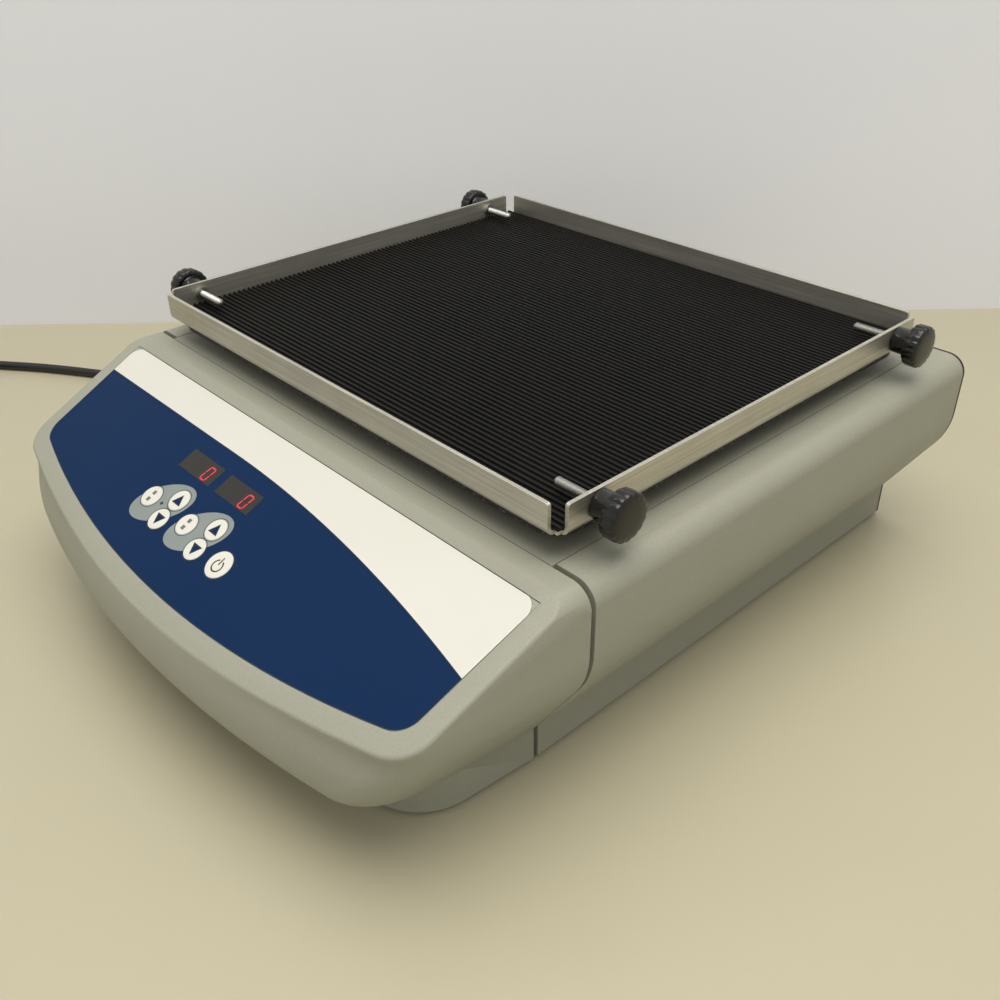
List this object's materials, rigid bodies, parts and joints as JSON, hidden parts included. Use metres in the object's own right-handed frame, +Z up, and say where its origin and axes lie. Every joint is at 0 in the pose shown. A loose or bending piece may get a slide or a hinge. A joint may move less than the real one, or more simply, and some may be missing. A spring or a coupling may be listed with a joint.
{
  "type": "orbital shaker",
  "caption": "Bench-top orbital shaker: a flanged tray with a ribbed mat and clamp knobs on an eccentric drive, above a case with a sloping control panel.",
  "frame": {"origin": "centre of the case's footprint on the bench, cord left out", "axes": "+X to the user's right, +Y from the control panel to the back, +Z up"},
  "size_m": [0.7179, 0.5872, 0.1534],
  "materials": {
    "housing_grey": "satin, fine texture",
    "deck_grey": "satin",
    "rear_black": "matt black",
    "zinc_steel": "zinc plated",
    "ground_steel": "ground",
    "bearing_steel": "polished",
    "cast_grey": "as cast",
    "machined_aluminium": "machined",
    "iron_weight": "painted",
    "motor_black": "satin",
    "sheet_steel": "bright zinc plated",
    "rubber_black": "matt",
    "cord_black": "smooth, slightly glossy",
    "moulded_black": "fine texture",
    "knob_black": "glossy",
    "carrier_black": "cast, granular black coating",
    "brushed_tray": "brushed along its edges",
    "overlay_print": "printed film, off-white and dark blue",
    "window_tint": "dark tinted",
    "key_white": "printed film",
    "board_green": "circuit board",
    "supply_case": "sheet"
  },
  "bodies": {
    "case": {"base_plate": "sheet_steel", "rubber_feet": "rubber_black", "hex_pillars": "zinc_steel", "pan_head_screws": "zinc_steel", "socket_screws": "zinc_steel", "self_tapping_screws": "zinc_steel", "left_side_panel": "housing_grey", "right_side_panel": "housing_grey", "deck_panel": "deck_grey", "front_housing": "housing_grey", "rear_panel": "rear_black", "main_bearing_housing": "cast_grey", "idler_bearing_housings": "cast_grey", "frame_bearing_outer_rings": "bearing_steel", "motor": "motor_black", "motor_bracket": "sheet_steel", "drive_belt": "rubber_black", "control_board": "board_green", "power_supply": "supply_case", "power_inlet": "moulded_black", "fuse_drawer": "moulded_black", "display_board": "board_green", "digit_modules": "moulded_black", "control_overlay": "overlay_print", "display_windows": "window_tint", "cord_connector": "cord_black", "power_cord": "cord_black", "power_cord_coil": "cord_black", "mains_plug": "cord_black"},
    "crank": {"main_crank": "ground_steel", "main_inner_rings": "bearing_steel", "counterweight": "iron_weight", "drive_pulley": "machined_aluminium"},
    "left_idler": {"left_idler_crank": "ground_steel", "left_idler_inner_rings": "bearing_steel"},
    "right_idler": {"right_idler_crank": "ground_steel", "right_idler_inner_rings": "bearing_steel"},
    "rotor": {"motor_shaft": "ground_steel", "motor_pulley": "machined_aluminium"},
    "platform": {"platform_carrier": "carrier_black", "platform_bearing_outer_rings": "bearing_steel", "tray": "brushed_tray", "tray_screws": "zinc_steel", "rubber_mat": "rubber_black", "clinch_nuts": "zinc_steel"},
    "left_front_clamp_stud": {"left_front_stud": "zinc_steel"},
    "left_front_clamp_knob": {"left_front_knob": "knob_black"},
    "left_rear_clamp_stud": {"left_rear_stud": "zinc_steel"},
    "left_rear_clamp_knob": {"left_rear_knob": "knob_black"},
    "right_front_clamp_stud": {"right_front_stud": "zinc_steel"},
    "right_front_clamp_knob": {"right_front_knob": "knob_black"},
    "right_rear_clamp_stud": {"right_rear_stud": "zinc_steel"},
    "right_rear_clamp_knob": {"right_rear_knob": "knob_black"},
    "speed_mode_key_cap": {"speed_mode_key": "key_white"},
    "speed_up_key_cap": {"speed_up_key": "key_white"},
    "speed_down_key_cap": {"speed_down_key": "key_white"},
    "time_mode_key_cap": {"time_mode_key": "key_white"},
    "time_up_key_cap": {"time_up_key": "key_white"},
    "time_down_key_cap": {"time_down_key": "key_white"},
    "standby_key_cap": {"standby_key": "key_white"}
  },
  "joints": [
    {"name": "crank_spin", "type": "hinge", "parent": "case", "child": "crank", "pos_m": [0, 0.134, 0.1], "axis": [0, 0, 1], "continuous": true},
    {"name": "platform_orbit", "type": "hinge", "parent": "crank", "child": "platform", "pos_m": [0, 0.1245, 0.12], "axis": [0, 0, 1], "continuous": true},
    {"name": "left_idler_spin", "type": "hinge", "parent": "case", "child": "left_idler", "pos_m": [-0.104, -0.016, 0.1], "axis": [0, 0, 1], "continuous": true},
    {"name": "right_idler_spin", "type": "hinge", "parent": "case", "child": "right_idler", "pos_m": [0.104, -0.016, 0.1], "axis": [0, 0, 1], "continuous": true},
    {"name": "rotor_spin", "type": "hinge", "parent": "case", "child": "rotor", "pos_m": [0, 0.012, 0.08], "axis": [0, 0, 1], "continuous": true},
    {"name": "left_front_clamp_travel", "type": "slide", "parent": "platform", "child": "left_front_clamp_stud", "axis": [-1, 0, 0], "range_m": [0, 0.02]},
    {"name": "left_front_clamp_turn", "type": "hinge", "parent": "left_front_clamp_stud", "child": "left_front_clamp_knob", "pos_m": [-0.17, -0.0735, 0.143], "axis": [-1, 0, 0], "range_deg": [0, 7000]},
    {"name": "left_rear_clamp_travel", "type": "slide", "parent": "platform", "child": "left_rear_clamp_stud", "axis": [-1, 0, 0], "range_m": [0, 0.02]},
    {"name": "left_rear_clamp_turn", "type": "hinge", "parent": "left_rear_clamp_stud", "child": "left_rear_clamp_knob", "pos_m": [-0.17, 0.1625, 0.143], "axis": [-1, 0, 0], "range_deg": [0, 7000]},
    {"name": "right_front_clamp_travel", "type": "slide", "parent": "platform", "child": "right_front_clamp_stud", "axis": [1, 0, 0], "range_m": [0, 0.02]},
    {"name": "right_front_clamp_turn", "type": "hinge", "parent": "right_front_clamp_stud", "child": "right_front_clamp_knob", "pos_m": [0.17, -0.0735, 0.143], "axis": [1, 0, 0], "range_deg": [0, 7000]},
    {"name": "right_rear_clamp_travel", "type": "slide", "parent": "platform", "child": "right_rear_clamp_stud", "axis": [1, 0, 0], "range_m": [0, 0.02]},
    {"name": "right_rear_clamp_turn", "type": "hinge", "parent": "right_rear_clamp_stud", "child": "right_rear_clamp_knob", "pos_m": [0.17, 0.1625, 0.143], "axis": [1, 0, 0], "range_deg": [0, 7000]},
    {"name": "speed_mode_key_press", "type": "slide", "parent": "case", "child": "speed_mode_key_cap", "axis": [0, 0.4204, -0.9073], "range_m": [0, 0.0005], "stiffness_N_per_m": 1500},
    {"name": "speed_up_key_press", "type": "slide", "parent": "case", "child": "speed_up_key_cap", "axis": [0, 0.4204, -0.9073], "range_m": [0, 0.0005], "stiffness_N_per_m": 1500},
    {"name": "speed_down_key_press", "type": "slide", "parent": "case", "child": "speed_down_key_cap", "axis": [0, 0.4204, -0.9073], "range_m": [0, 0.0005], "stiffness_N_per_m": 1500},
    {"name": "time_mode_key_press", "type": "slide", "parent": "case", "child": "time_mode_key_cap", "axis": [0, 0.4204, -0.9073], "range_m": [0, 0.0005], "stiffness_N_per_m": 1500},
    {"name": "time_up_key_press", "type": "slide", "parent": "case", "child": "time_up_key_cap", "axis": [0, 0.4204, -0.9073], "range_m": [0, 0.0005], "stiffness_N_per_m": 1500},
    {"name": "time_down_key_press", "type": "slide", "parent": "case", "child": "time_down_key_cap", "axis": [0, 0.4204, -0.9073], "range_m": [0, 0.0005], "stiffness_N_per_m": 1500},
    {"name": "standby_key_press", "type": "slide", "parent": "case", "child": "standby_key_cap", "axis": [0, 0.4204, -0.9073], "range_m": [0, 0.0005], "stiffness_N_per_m": 1500}
  ],
  "couplings": [
    {"joint": "platform_orbit", "follows": "crank_spin", "ratio": -1},
    {"joint": "left_idler_spin", "follows": "crank_spin", "ratio": 1},
    {"joint": "right_idler_spin", "follows": "crank_spin", "ratio": 1},
    {"joint": "rotor_spin", "follows": "crank_spin", "ratio": 5},
    {"joint": "left_front_clamp_turn", "follows": "left_front_clamp_travel", "rad_per_m": 5938.7},
    {"joint": "left_rear_clamp_turn", "follows": "left_rear_clamp_travel", "rad_per_m": 5938.7},
    {"joint": "right_front_clamp_turn", "follows": "right_front_clamp_travel", "rad_per_m": 5938.7},
    {"joint": "right_rear_clamp_turn", "follows": "right_rear_clamp_travel", "rad_per_m": 5938.7}
  ]
}
